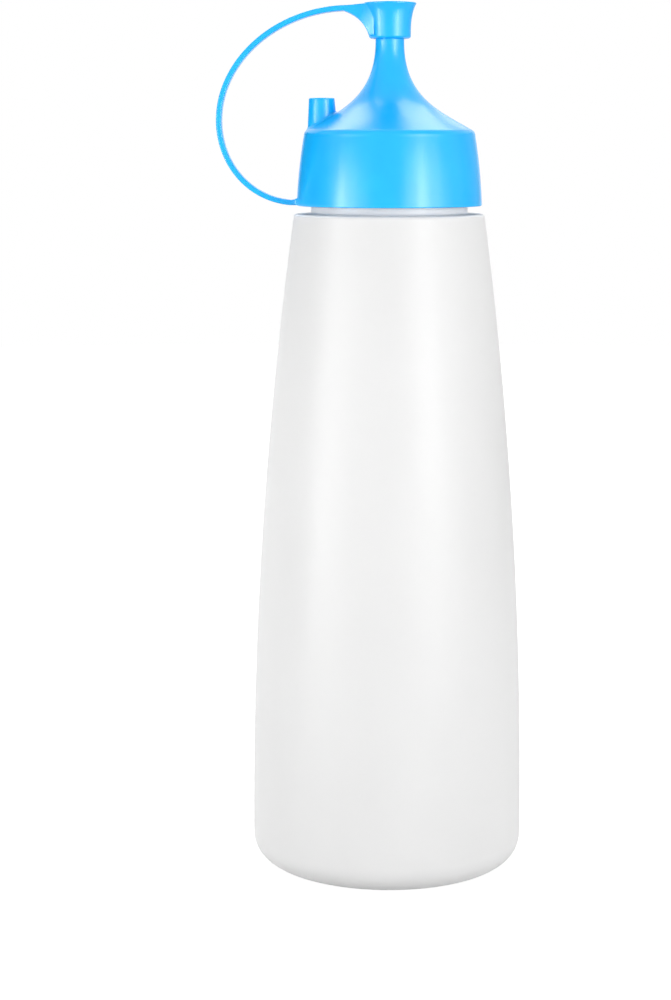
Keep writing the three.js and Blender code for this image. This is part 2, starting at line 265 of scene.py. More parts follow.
def turned(outline: Outline, segments: int, closed: bool = False) -> bmesh.types.BMesh:
    """Turns an outline about the Z axis into a closed shell.

    Args:
        outline: The run of points, which starts and ends on the axis or is closed.
        segments: How many steps the full turn has.
        closed: Whether the last point joins the first.

    Returns:
        The shell, with its faces pointing outwards.
    """
    bm = bmesh.new()
    points = [bm.verts.new((radius, 0.0, height)) for radius, height in outline.points]
    edges = [bm.edges.new(pair) for pair in zip(points, points[1:])]
    if closed:
        edges.append(bm.edges.new((points[-1], points[0])))
    bmesh.ops.remove_doubles(bm, verts=bm.verts[:], dist=WELD)
    bmesh.ops.spin(
        bm, geom=bm.verts[:] + bm.edges[:], cent=(0, 0, 0), axis=(0, 0, 1),
        angle=FULL_TURN, steps=segments, use_merge=True,
    )
    bmesh.ops.remove_doubles(bm, verts=bm.verts[:], dist=WELD)
    bmesh.ops.recalc_face_normals(bm, faces=bm.faces[:])
    return bm


def joined(shells: list[bmesh.types.BMesh]) -> bmesh.types.BMesh:
    """Puts several shells into the first one.

    Args:
        shells: The shells, each closed by itself.

    Returns:
        The first shell, which then holds them all.
    """
    whole = shells[0]
    for shell in shells[1:]:
        part = bpy.data.meshes.new("part")
        shell.to_mesh(part)
        shell.free()
        whole.from_mesh(part)
        bpy.data.meshes.remove(part)
    return whole


def made_object(bm: bmesh.types.BMesh, name: str, material: bpy.types.Material) -> bpy.types.Object:
    """Makes a smooth-shaded object of a shell, and frees the shell.

    Args:
        bm: The shell, in its place in the frame.
        name: The piece's name.
        material: The piece's finish.

    Returns:
        The object, at the origin.
    """
    mesh = bpy.data.meshes.new(name)
    bm.to_mesh(mesh)
    bm.free()
    mesh.shade_smooth()
    mesh.set_sharp_from_angle(angle=SHARP_ANGLE)
    mesh.materials.append(material)
    piece = bpy.data.objects.new(name, mesh)
    bpy.context.scene.collection.objects.link(piece)
    return piece


def report(piece: bpy.types.Object) -> None:
    """Writes a piece's name and size to the log."""
    log.info("%s: %d vertices, %d faces", piece.name, len(piece.data.vertices), len(piece.data.polygons))


@dataclass
class Piece:
    """One piece of the bottle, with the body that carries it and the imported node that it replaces."""

    name: str
    node: str
    carrier: Carrier
    slot: Slot

    def shell(self) -> bmesh.types.BMesh:
        """Makes the piece's shell, in its place in the frame."""
        raise NotImplementedError

    def attach(self, piece: bpy.types.Object) -> None:
        """Ties the piece to its body and takes its node's place."""
        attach(piece, self.carrier.value)
        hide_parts(self.node)

    def build(self, material: bpy.types.Material) -> bpy.types.Object:
        """Builds the piece.

        Args:
            material: Its finish.

        Returns:
            The piece, riding on its body.
        """
        piece = made_object(self.shell(), self.name, material)
        self.attach(piece)
        return piece


class Recipe:
    """A node material that starts as one Principled shader."""

    pattern_range = (0.3, 0.7)
    mix_share = 0
    mix_colours = (6, 7)
    mix_result = 2

    def __init__(self, name: str) -> None:
        """Makes the material.

        Args:
            name: The material's name.
        """
        self.material = bpy.data.materials.new(name)
        self.material.use_nodes = True
        self.nodes = self.material.node_tree.nodes
        self.links = self.material.node_tree.links
        self.shader = self.nodes["Principled BSDF"]

    def node(self, kind: str, **values: float | str | bool | Colour) -> bpy.types.Node:
        """Adds a node.

        Args:
            kind: The node's type name.
            values: Settings by attribute name, or socket values by the socket's name with _ for spaces.

        Returns:
            The node.
        """
        made = self.nodes.new(kind)
        for key, value in values.items():
            if hasattr(made, key):
                setattr(made, key, value)
            else:
                made.inputs[key.replace("_", " ")].default_value = value
        return made

    def dress(self, **values: float | Sequence[float]) -> None:
        """Sets the shader's own sockets, by their names with _ for spaces."""
        for key, value in values.items():
            self.shader.inputs[key.replace("_", " ")].default_value = value

    def join(self, source: bpy.types.NodeSocket, target: bpy.types.NodeSocket) -> None:
        """Links one socket to another."""
        self.links.new(source, target)

    def noise(self, size: float, detail: float = 2.0, stretch: Colour = (1, 1, 1)) -> bpy.types.NodeSocket:
        """Adds a cloudy pattern on Object coordinates.

        Args:
            size: How wide its patches are.
            detail: How many finer layers it has.
            stretch: Scale along X, Y and Z, below 1 where the patches are longer.

        Returns:
            The pattern's value socket, around 0.5.
        """
        place = self.node("ShaderNodeTexCoord")
        mapping = self.node("ShaderNodeMapping", Scale=stretch)
        pattern = self.node("ShaderNodeTexNoise", Scale=1 / size, Detail=detail)
        self.join(place.outputs["Object"], mapping.inputs["Vector"])
        self.join(mapping.outputs["Vector"], pattern.inputs["Vector"])
        return pattern.outputs["Fac"]

    def spread(self, source: bpy.types.NodeSocket, low: float, high: float) -> bpy.types.NodeSocket:
        """Spreads a pattern's middle range over two values.

        Args:
            source: The pattern's value.
            low: The value where the pattern is low.
            high: The value where it is high.

        Returns:
            The new value's socket.
        """
        least, most = self.pattern_range
        spread = self.node("ShaderNodeMapRange", From_Min=least, From_Max=most, To_Min=low, To_Max=high)
        self.join(source, spread.inputs["Value"])
        return spread.outputs["Result"]

    def tint(self, share: bpy.types.NodeSocket, light: Colour, dark: Colour | None = None) -> None:
        """Mixes the base colour of two colours by a share.

        Args:
            share: A value from 0 to 1.
            light: The colour at 1.
            dark: The colour at 0, or nothing for the base colour so far.
        """
        base = self.shader.inputs["Base Color"]
        first, second = self.mix_colours
        mix = self.node("ShaderNodeMix", data_type="RGBA")
        mix.inputs[second].default_value = (*light, 1.0)
        if dark:
            mix.inputs[first].default_value = (*dark, 1.0)
        else:
            self.join(base.links[0].from_socket, mix.inputs[first])
        self.join(share, mix.inputs[self.mix_share])
        self.join(mix.outputs[self.mix_result], base)

    def roughen(self, source: bpy.types.NodeSocket, low: float, high: float) -> None:
        """Spreads a pattern over two values of the roughness."""
        self.join(self.spread(source, low, high), self.shader.inputs["Roughness"])

    def level(self, low: float, high: float) -> bpy.types.NodeSocket:
        """Marks the part of a piece between two heights.

        Args:
            low: The lower height.
            high: The upper height.

        Returns:
            A value socket, 1 between them and 0 elsewhere.
        """
        place = self.node("ShaderNodeTexCoord")
        axes = self.node("ShaderNodeSeparateXYZ")
        inside = self.node("ShaderNodeMath", operation="COMPARE")
        self.join(place.outputs["Object"], axes.inputs["Vector"])
        self.join(axes.outputs["Z"], inside.inputs[0])
        inside.inputs[1].default_value = (low + high) / 2
        inside.inputs[2].default_value = (high - low) / 2
        return inside.outputs[0]

    def bumps(self, layers: list[tuple[bpy.types.NodeSocket, float]]) -> None:
        """Lays bump patterns over each other.

        Args:
            layers: Each pattern's value, with the depth between its low and high places.
        """
        below = None
        for source, depth in layers:
            bump = self.node("ShaderNodeBump", Strength=1.0, Distance=depth)
            self.join(source, bump.inputs["Height"])
            if below is not None:
                self.join(below, bump.inputs["Normal"])
            below = bump.outputs["Normal"]
        self.join(below, self.shader.inputs["Normal"])


@dataclass(frozen=True)
class BottleFinish:
    """Frosted, translucent white polyethylene with a faint skin from the mould."""

    dark: Colour = (0.785, 0.785, 0.785)
    light: Colour = (0.81, 0.81, 0.81)
    roughness_low: float = 0.38
    roughness_high: float = 0.44
    transmission: float = 0.1
    scatter: float = 1.0
    scatter_depth: float = 2.2 * MM
    scatter_radius: Colour = (1.0, 1.0, 1.0)
    ior: float = 1.46
    patch_size: float = 26 * MM
    patch_stretch: Colour = (1, 1, 0.4)
    skin_size: float = 0.55 * MM
    skin_depth: float = 0.006 * MM
    flow_depth: float = 0.05 * MM
    # painted light: a whiter colour over the collar and a little below its foot, standing in for light in the
    # shade under the cap's skirt
    collar_painted_light: Colour = (0.97, 0.97, 0.97)
    collar_painted_light_margin: float = 0.4 * MM

    def material(self, collar_foot: float, collar_top: float) -> bpy.types.Material:
        """Builds the material, with painted light at the collar: a whiter band there and on the shoulder's
        corner just below, which lifts the shade under the cap's skirt.

        Args:
            collar_foot: The height of the collar's foot.
            collar_top: The height of its top.

        Returns:
            The material.
        """
        recipe = Recipe("frosted_polyethylene")
        patches = recipe.noise(self.patch_size, stretch=self.patch_stretch)
        skin = recipe.noise(self.skin_size)
        recipe.tint(recipe.spread(patches, 0.0, 1.0), self.light, self.dark)
        # painted light: whitens the collar band, lifting the shade that the cap's skirt casts there
        recipe.tint(recipe.level(collar_foot - self.collar_painted_light_margin, collar_top), self.collar_painted_light)
        recipe.roughen(patches, self.roughness_low, self.roughness_high)
        recipe.bumps([(patches, self.flow_depth), (skin, self.skin_depth)])
        recipe.dress(
            IOR=self.ior, Transmission_Weight=self.transmission, Subsurface_Weight=self.scatter,
            Subsurface_Radius=self.scatter_radius, Subsurface_Scale=self.scatter_depth)
        return recipe.material


@dataclass(frozen=True)
class CapFinish:
    """Glossy bright blue polyethylene with a soft skin from the mould."""

    dark: Colour = (0.002, 0.42, 0.91)
    light: Colour = (0.004, 0.45, 0.95)
    roughness_low: float = 0.22
    roughness_high: float = 0.26
    ior: float = 1.5
    patch_size: float = 7 * MM
    skin_size: float = 0.4 * MM
    skin_depth: float = 0.003 * MM

    def material(self) -> bpy.types.Material:
        """Builds the material."""
        recipe = Recipe("blue_polyethylene")
        patches = recipe.noise(self.patch_size)
        skin = recipe.noise(self.skin_size)
        recipe.tint(recipe.spread(patches, 0.0, 1.0), self.light, self.dark)
        recipe.roughen(patches, self.roughness_low, self.roughness_high)
        recipe.bumps([(skin, self.skin_depth)])
        recipe.dress(IOR=self.ior)
        return recipe.material


@dataclass(frozen=True)
class WasherFinish:
    """Fine white foam with closed cells."""

    dark: Colour = (0.78, 0.77, 0.74)
    light: Colour = (0.88, 0.875, 0.85)
    roughness: float = 0.8
    cell_size: float = 0.35 * MM
    cell_depth: float = 0.04 * MM

    def material(self) -> bpy.types.Material:
        """Builds the material."""
        recipe = Recipe("washer_foam")
        place = recipe.node("ShaderNodeTexCoord")
        cells = recipe.node("ShaderNodeTexVoronoi", Scale=1 / self.cell_size)
        recipe.join(place.outputs["Object"], cells.inputs["Vector"])
        recipe.tint(cells.outputs["Distance"], self.light, self.dark)
        recipe.bumps([(cells.outputs["Distance"], self.cell_depth)])
        recipe.dress(Roughness=self.roughness)
        return recipe.material


@dataclass
class BottleBody(Piece):
    """The blow-moulded bottle: pushed-up base, tapering side, flat shoulder and threaded neck."""

    name: str = "bottle"
    node: str = "bottle_body"
    carrier: Carrier = Carrier.BOTTLE
    slot: Slot = Slot.BOTTLE_PLASTIC
    segments: int = 144
    wall: float = 1.2 * MM
    fullness_share: float = 1.016
    top_radius: float = 25.15 * MM
    heel: float = 7.2 * MM
    ring_width: float = 2.4 * MM
    push_up: float = 1.0 * MM
    push_up_ramp: float = 4.0 * MM
    corner: float = 0.9 * MM
    neck_height: float = 19.1 * MM
    neck_radius: float = 19.6 * MM
    neck_wall: float = 1.5 * MM
    collar_step: float = 1.0 * MM
    collar_height: float = 3.0 * MM
    fillet: float = 0.5 * MM
    edge: float = 0.3 * MM
    lip: float = 0.5 * MM
    thread_gap: float = 3.0 * MM
    thread_height: float = 0.9 * MM
    thread_turns: float = 1.5
    thread_rows: int = 44
    seam_length: float = 40 * MM
    seam_width: float = 1.0 * MM
    seam_height: float = 0.5 * MM
    seam_edge_share: float = 0.45
    seam_edge_steps: int = 4
    base_steps: int = 8
    ramp_steps: int = 10
    ring_steps: int = 2
    heel_steps: int = 14
    side_steps: int = 60
    corner_steps: int = 10

    def __post_init__(self) -> None:
        """Takes the foot's radius and the neck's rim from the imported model."""
        _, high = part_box(self.node)
        self.foot_radius = high.x
        self.rim = high.z
        self.shoulder = self.rim - self.neck_height

    def side(self, depth: float) -> list[Point]:
        """Gives the points of the heel, the tapering side and the shoulder's corner.

        Args:
            depth: How far under the outer skin they lie.

        Returns:
            The points, from the foot to the shoulder.
        """
        corner_foot = self.shoulder - self.corner
        fullness = mixed(self.top_radius, self.foot_radius, self.fullness_share)
        outline = Outline(self.foot_radius - self.heel, depth)
        outline.corner(
            self.foot_radius - depth, depth, self.heel - depth, -QUARTER_TURN, steps=self.heel_steps)
        outline.curve(
            (fullness - depth, (self.heel + corner_foot) / 2), (self.top_radius - depth, corner_foot),
            steps=self.side_steps)
        outline.corner(
            self.top_radius - depth, self.shoulder - depth, self.corner - depth, 0, steps=self.corner_steps)
        return outline.points

    def outline(self) -> Outline:
        """Draws the wall's section: outside from the base to the rim, then the inside back down."""
        ring_outside = self.foot_radius - self.heel
        ring_inside = ring_outside - self.ring_width
        ramp_foot = ring_inside - self.push_up_ramp
        collar_radius = self.neck_radius + self.collar_step
        collar_top = self.shoulder + self.collar_height
        bore = self.neck_radius - self.neck_wall
        outline = Outline(0, self.push_up)
        outline.to(ramp_foot, self.push_up, self.base_steps)
        outline.step_to(ring_inside, 0.0, self.ramp_steps)
        outline.to(ring_outside, 0.0, self.ring_steps)
        outline.points += self.side(0.0)
        outline.corner(collar_radius, self.shoulder, self.fillet, -QUARTER_TURN, -QUARTER_TURN)
        outline.corner(collar_radius, collar_top, self.edge, 0)
        outline.corner(self.neck_radius, collar_top, self.fillet, -QUARTER_TURN, -QUARTER_TURN)
        outline.to(self.neck_radius, self.rim - self.lip, self.thread_rows)
        outline.corner(self.neck_radius, self.rim, self.lip, 0)
        outline.corner(bore, self.rim, self.lip, QUARTER_TURN)
        outline.to(bore, self.shoulder - self.wall + self.fillet, self.base_steps)
        outline.corner(bore, self.shoulder - self.wall, self.fillet, 2 * QUARTER_TURN)
        outline.points += reversed(self.side(self.wall))
        outline.to(ring_inside, self.wall, self.ring_steps)
        outline.step_to(ramp_foot, self.push_up + self.wall, self.ramp_steps)
        return outline.to(0, self.push_up + self.wall, self.base_steps)

    def base_seam(self) -> bmesh.types.BMesh:
        """Makes the low ridge that the mould's halves leave across the base."""
        bm = bmesh.new()
        bmesh.ops.create_cube(bm, size=1.0)
        bmesh.ops.scale(bm, verts=bm.verts[:], vec=(self.seam_length, self.seam_width, self.seam_height))
        bmesh.ops.translate(bm, verts=bm.verts[:], vec=(0, 0, self.push_up))
        bmesh.ops.bevel(
            bm, geom=bm.edges[:], offset=self.seam_height * self.seam_edge_share,
            segments=self.seam_edge_steps, profile=0.5, affect="EDGES", material=-1,
        )
        return bm

    def shell(self) -> bmesh.types.BMesh:
        """Turns the wall, raises its thread and adds the seam under the base."""
        collar_top = self.shoulder + self.collar_height
        shell = turned(self.outline(), self.segments)
        Thread(collar_top + self.thread_gap, self.thread_turns, self.thread_height).cut(
            shell, (self.neck_radius, collar_top + self.fillet), (self.neck_radius, self.rim - self.lip), 1)
        return joined([shell, self.base_seam()])


@dataclass
class SealingWasher(Piece):
    """The soft ring between the neck's rim and its seat in the cap."""

    name: str = "washer"
    node: str = "sealing_washer"
    carrier: Carrier = Carrier.SEAL
    slot: Slot = Slot.WASHER_FOAM
    segments: int = 96
    ring_width: float = 2.6 * MM
    edge: float = 0.25 * MM
    edge_steps: int = 4

    def shell(self) -> bmesh.types.BMesh:
        """Turns the ring's section, with its four rounded corners."""
        low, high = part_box(self.node)
        inside = high.x - self.ring_width
        outline = Outline(inside + self.edge, low.z)
        corners = ((high.x, low.z), (high.x, high.z), (inside, high.z), (inside, low.z))
        for quarter, (radius, height) in enumerate(corners, start=-1):
            outline.corner(radius, height, self.edge, quarter * QUARTER_TURN, steps=self.edge_steps)
        return turned(outline, self.segments, closed=True)


@dataclass
class ScrewCap(Piece):
    """The hollow screw cap: skirt, flared shoulder, nozzle with its bore, and the parking post."""

    name: str = "cap"
    node: str = "screw_cap"
    carrier: Carrier = Carrier.CAP
    slot: Slot = Slot.CAP_PLASTIC
    segments: int = 144
    top_radius: float = 22.45 * MM
    fullness_share: float = 0.805
    wall: float = 1.3 * MM
    foot_edge: float = 0.3 * MM
    skirt_edge: float = 1.7 * MM
    flare_start: float = 60.0
    top_wall: float = 1.3 * MM
    cavity_radius: float = 17.0 * MM
    cavity_step: float = 1.7 * MM
    nozzle_radius: float = 3.74 * MM
    nozzle_wall: float = 1.24 * MM
    cylinder_height: float = 0.5 * MM
    flare_height: float = 22.4 * MM
    flare_foot_pull: float = 9.3 * MM
    flare_top_pull: float = 14.4 * MM
    hollow_handle_rise: float = 6.9 * MM
    hollow_depth: float = 3.3 * MM
    tip_length: float = 7.7 * MM
    tip_wall: float = 0.9 * MM
    tip_edge: float = 0.25 * MM
    tip_draft: float = 0.0625 * MM
    bore_tip_radius: float = 1.1 * MM
    bore_edge: float = 0.15 * MM
    thread_height: float = 1.1 * MM
    thread_turns: float = 1.6
    thread_rows: int = 52
    thread_foot: float = 4.6 * MM
    post_inset: float = 1.05 * MM
    post_foot_radius: float = 3.65 * MM
    post_top_radius: float = 3.35 * MM
    post_height: float = 8.0 * MM
    post_edge: float = 0.35 * MM
    post_fillet: float = 0.9 * MM
    post_segments: int = 64
    post_root: float = 1.0 * MM
    post_fillet_steps: int = 8
    post_side_steps: int = 10
    skirt_steps: int = 30
    skirt_edge_steps: int = 10
    flare_steps: int = 60
    nozzle_steps: int = 6
    tip_steps: int = 8
    bore_steps: int = 12
    hollow_steps: int = 36
    cavity_steps: int = 3
    seat_steps: int = 5

    def __post_init__(self) -> None:
        """Takes the skirt's foot and the nozzle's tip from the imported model."""
        low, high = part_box(self.node)
        self.foot = low.z
        self.foot_radius = high.x
        self.tip = high.z
        self.nozzle_shoulder = self.tip - self.tip_length
        self.flare_top = self.nozzle_shoulder - self.cylinder_height
        self.skirt_top = self.flare_top - self.flare_height
        self.seat = self.skirt_top - self.top_wall

    def flare(self, outline: Outline) -> Outline:
        """Draws the skirt's rounded top edge and the flare up to the nozzle.

        Args:
            outline: The outline to go on with.

        Returns:
            The outline.
        """
        outline.corner(
            self.top_radius, self.skirt_top, self.skirt_edge, 0, self.flare_start, self.skirt_edge_steps)
        radius, height = outline.points[-1]
        turn = math.radians(self.flare_start)
        return outline.curve(
            (radius - self.flare_foot_pull * math.sin(turn), height + self.flare_foot_pull * math.cos(turn)),
            (self.nozzle_radius, self.flare_top - self.flare_top_pull),
            (self.nozzle_radius, self.flare_top),
            steps=self.flare_steps)

    def outline(self) -> Outline:
        """Draws the wall's section, outside from the foot to the tip and then back down the hollow."""
        side_foot = self.foot + self.foot_edge
        side_top = self.skirt_top - self.skirt_edge
        fullness = mixed(self.top_radius, self.foot_radius, self.fullness_share)
        foot_inside = self.foot_radius - self.wall
        top_inside = self.top_radius - self.wall
        tip_radius = self.bore_tip_radius + self.tip_wall
        bore_foot = self.nozzle_radius - self.nozzle_wall
        outline = Outline(foot_inside, self.foot)
        outline.corner(self.foot_radius, self.foot, self.foot_edge, -QUARTER_TURN)
        outline.curve(
            (fullness, (side_foot + side_top) / 2), (self.top_radius, side_top), steps=self.skirt_steps)
        self.flare(outline)
        outline.to(self.nozzle_radius, self.nozzle_shoulder, self.nozzle_steps)
        outline.to(tip_radius + self.tip_draft, self.tip - self.tip_edge, self.tip_steps)
        outline.corner(tip_radius, self.tip, self.tip_edge, 0)
        outline.corner(self.bore_tip_radius, self.tip, self.bore_edge, QUARTER_TURN)
        outline.to(bore_foot, self.flare_top - self.hollow_depth, self.bore_steps)
        outline.curve(
            (bore_foot, self.skirt_top + self.hollow_handle_rise),
            (self.cavity_radius, self.seat + self.cavity_step),
            steps=self.hollow_steps)
        outline.to(self.cavity_radius, self.seat, self.cavity_steps)
        outline.to(top_inside, self.seat, self.seat_steps)
        return outline.to(foot_inside, self.foot, self.thread_rows)

    def post(self) -> bmesh.types.BMesh:
        """Makes the parking post, whose filleted foot follows the flare."""
        offset = self.top_radius - self.post_inset - self.post_foot_radius
        spread = self.post_foot_radius + self.post_fillet
        outline = Outline(0, -self.post_root)
        outline.to(spread, -self.post_root)
        outline.to(spread, 0.0)
        outline.corner(self.post_foot_radius, 0.0, self.post_fillet, -QUARTER_TURN, -QUARTER_TURN,
                       self.post_fillet_steps)
        fillet_top = outline.points[-1][1]
        outline.to(self.post_top_radius, self.post_height - self.post_edge, self.post_side_steps)
        outline.corner(self.post_top_radius, self.post_height, self.post_edge, 0)
        outline.to(0, self.post_height)
        bm = turned(outline, self.post_segments)
        top = self.flare(Outline(self.top_radius, self.skirt_top - self.skirt_edge))
        for point in bm.verts:
            point.co.x -= offset
            ground = top.height_at(math.hypot(point.co.x, point.co.y)) - self.skirt_top
            share = max(point.co.z - fillet_top, 0.0) / (self.post_height - fillet_top)
            point.co.z += self.skirt_top + ground * (1 - share)
        return bm

    def shell(self) -> bmesh.types.BMesh:
        """Turns the wall, raises its thread and adds the post."""
        shell = turned(self.outline(), self.segments, closed=True)
        Thread(self.foot + self.thread_foot, self.thread_turns, self.thread_height).cut(
            shell, (self.foot_radius - self.wall, self.foot), (self.top_radius - self.wall, self.seat), -1)
        return joined([shell, self.post()])


@dataclass
class Station:
    """One section of the strap: where it is, which way the strap runs there, and its size."""

    place: Vector
    along: Vector
    half_thickness: float
    half_width: float


@dataclass
class Strap(Piece):
    """The band from the skirt's foot to the tip cap, with a root at the skirt and a web at the cap."""

    name: str = "strap"
    node: str = "strap_lower"
    carrier: Carrier = Carrier.CAP
    slot: Slot = Slot.CAP_PLASTIC
    upper_node: str = "strap_upper"
    upper_carrier: Carrier = Carrier.TIP
    thickness: float = 1.4 * MM
    width: float = 5.0 * MM
    edge_share: float = 0.6
    section_points: int = 40
    band_steps: int = 44
    root_steps: int = 8
    web_steps: int = 18
    web_curve_steps: int = 72
    ear_drop: float = 1.45 * MM
    ear_slope_share: float = 0.033
    upper_pull: float = 17.6 * MM
    shoulder_pull: float = 15.4 * MM
    waist_pull: float = 10.65 * MM
    lower_pull: float = 11.25 * MM
    lug_rise: float = 0.85 * MM
    lug_slope_share: float = 0.097
    furthest_rise: float = 21.95 * MM
    root_spread: float = 0.9 * MM
    root_side_share: float = 0.8
    root_roundness: float = 1.15
    root_depth: float = 0.7 * MM
    web_foot_rise: float = 0.7 * MM
    web_handle_reach: float = 6.9 * MM
    web_handle_drop: float = 3.8 * MM
    web_foot_radius: float = 5.45 * MM
    web_depth: float = 1.3 * MM
    web_top_drop: float = 0.25 * MM
    web_top_haste: float = 1.2
    web_crowding: float = 1.6
    web_spread: float = 13 / 3 * MM
    web_spread_start: float = 0.45
    bend_zone: float = 22 * MM

    def __post_init__(self) -> None:
        """Takes the strap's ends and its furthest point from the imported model."""
        cap_low, cap_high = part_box("screw_cap")
        tip_low, tip_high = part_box("tip_cap")
        lower_low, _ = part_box(self.node)
        self.foot = cap_low.z
        self.foot_radius = cap_high.x
        self.top = tip_high.z
        self.mouth = tip_low.z
        self.lug = Vector((cap_low.x, 0, self.foot + self.lug_rise))
        self.ear = Vector((tip_low.x, 0, self.top - self.ear_drop))
        self.furthest = Vector((lower_low.x + self.thickness / 2, 0, self.foot + self.furthest_rise))

    def handles(self) -> tuple[list[Vector], list[Vector]]:
        """Gives the points of the middle line's two curves, which meet where it is furthest out."""
        lower = [
            self.lug,
            self.lug + Vector((-1, 0, self.lug_slope_share)) * self.lower_pull,
            self.furthest - Vector((0, 0, self.waist_pull)),
            self.furthest,
        ]
        upper = [
            self.furthest,
            self.furthest + Vector((0, 0, self.shoulder_pull)),
            self.ear + Vector((-1, 0, -self.ear_slope_share)) * self.upper_pull,
            self.ear,
        ]
        return lower, upper

    def band(self) -> list[Station]:
        """Gives the stations of the free band, from the skirt to the tip cap."""
        stations = []
        for handles in self.handles():
            for step in range(self.band_steps + 1):
                share = step / self.band_steps
                before = Vector(on_curve(handles[:-1], share))
                after = Vector(on_curve(handles[1:], share))
                stations.append(Station(
                    before.lerp(after, share), (after - before).normalized(),
                    self.thickness / 2, self.width / 2))
        del stations[self.band_steps]
        return stations

    def root(self, first: Station) -> list[Station]:
        """Gives the stations inside the skirt's wall and of the fillet, from the inside out.

        Args:
            first: The band's first station.

        Returns:
            The stations, which end where the band starts.
        """
        inside = -self.foot_radius + self.root_depth
        stations = []
        for step in range(self.root_steps):
            share = 1 - step / self.root_steps
            x = mixed(first.place.x, inside, share)
            spread = self.root_spread * (1 - math.sqrt(1 - min(share * self.root_roundness, 1.0) ** 2))
            stations.append(Station(
                Vector((x, 0, first.place.z + spread / 2)), Vector((-1, 0, 0)),
                first.half_thickness + spread / 2, first.half_width + spread * self.root_side_share))
        return stations

    def web(self, last: Station) -> list[Station]:
        """Gives the stations of the web that carries the tip cap, from the band's end inwards.

        Args:
            last: The band's last station.

        Returns:
            The stations, which end inside the tip cap's wall.
        """
        start = last.place.x
        end = -self.web_foot_radius + self.web_depth
        foot = self.mouth + self.web_foot_rise
        under = Outline(start, last.place.z - last.half_thickness)
        under.curve(
            (-self.web_handle_reach, self.top - self.web_handle_drop), (-self.web_foot_radius, foot),
            steps=self.web_curve_steps)
        under.to(end, foot)
        top_start = last.place.z + last.half_thickness
        top_end = self.top - self.web_top_drop
        stations = []
        for step in range(1, self.web_steps + 1):
            share = 1 - (1 - step / self.web_steps) ** self.web_crowding
            x = mixed(start, end, share)
            low = under.height_at(x)
            high = mixed(top_start, top_end, smoothstep(share * self.web_top_haste))
            grown = self.web_spread * max(share - self.web_spread_start, 0.0) ** 2
            stations.append(Station(
                Vector((x, 0, (low + high) / 2)), Vector((1, 0, 0)),
                (high - low) / 2, last.half_width + grown))
        return stations

    def section_point(self, station: Station, index: int) -> Vector:
        """Gives a point of a station's rounded section.

        Args:
            station: The station.
            index: The point's number round the section.

        Returns:
            The point's place.
        """
        edge = self.thickness / 2 * self.edge_share
        angle = FULL_TURN * index / self.section_points
        across = Vector((-station.along.z, 0, station.along.x))
        up = math.sin(angle)
        sideways = math.cos(angle)
        flat_up = math.copysign(station.half_thickness - edge, up) if abs(up) > WELD else 0.0
        flat_sideways = math.copysign(station.half_width - edge, sideways) if abs(sideways) > WELD else 0.0
        return (
            station.place
            + across * (flat_up + edge * up)
            + Vector((0, 1, 0)) * (flat_sideways + edge * sideways)
        )

    def shell(self) -> bmesh.types.BMesh:
        """Extrudes the section from station to station."""
        band = self.band()
        stations = self.root(band[0]) + band + self.web(band[-1])
        bm = bmesh.new()
        number = bm.verts.layers.int.new("number")
        circle = bmesh.ops.create_circle(
            bm, cap_ends=True, segments=self.section_points, radius=self.thickness)
        for index, point in enumerate(circle["verts"]):
            point[number] = index
            point.co = self.section_point(stations[0], index)
        rim = bm.edges[:]
        for station in stations[1:]:
            grown = bmesh.ops.extrude_edge_only(bm, edges=rim)["geom"]
            ring = {item for item in grown if isinstance(item, bmesh.types.BMVert)}
            for point in ring:
                point.co = self.section_point(station, point[number])
            rim = [
                item for item in grown
                if isinstance(item, bmesh.types.BMEdge) and ring.issuperset(item.verts)]
        bmesh.ops.contextual_create(bm, geom=rim)
        bm.verts.layers.int.remove(number)
        bmesh.ops.recalc_face_normals(bm, faces=bm.faces[:])
        return bm

    def attach(self, piece: bpy.types.Object) -> None:
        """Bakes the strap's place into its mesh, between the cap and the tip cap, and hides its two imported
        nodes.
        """
        pivot = self.pivot()
        nearest = min(self.band(), key=lambda station: (station.place - pivot).length)
        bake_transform(piece)
        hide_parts(self.node, self.upper_node)

    def pivot(self) -> Vector:
        """Gives the point on the middle line at the height of the tip cap's mouth."""
        upper = self.band()[self.band_steps:]
        for below, above in zip(upper, upper[1:]):
            if below.place.z <= self.mouth <= above.place.z:
                share = (self.mouth - below.place.z) / (above.place.z - below.place.z)
                return below.place.lerp(above.place, share)
        return upper[0].place


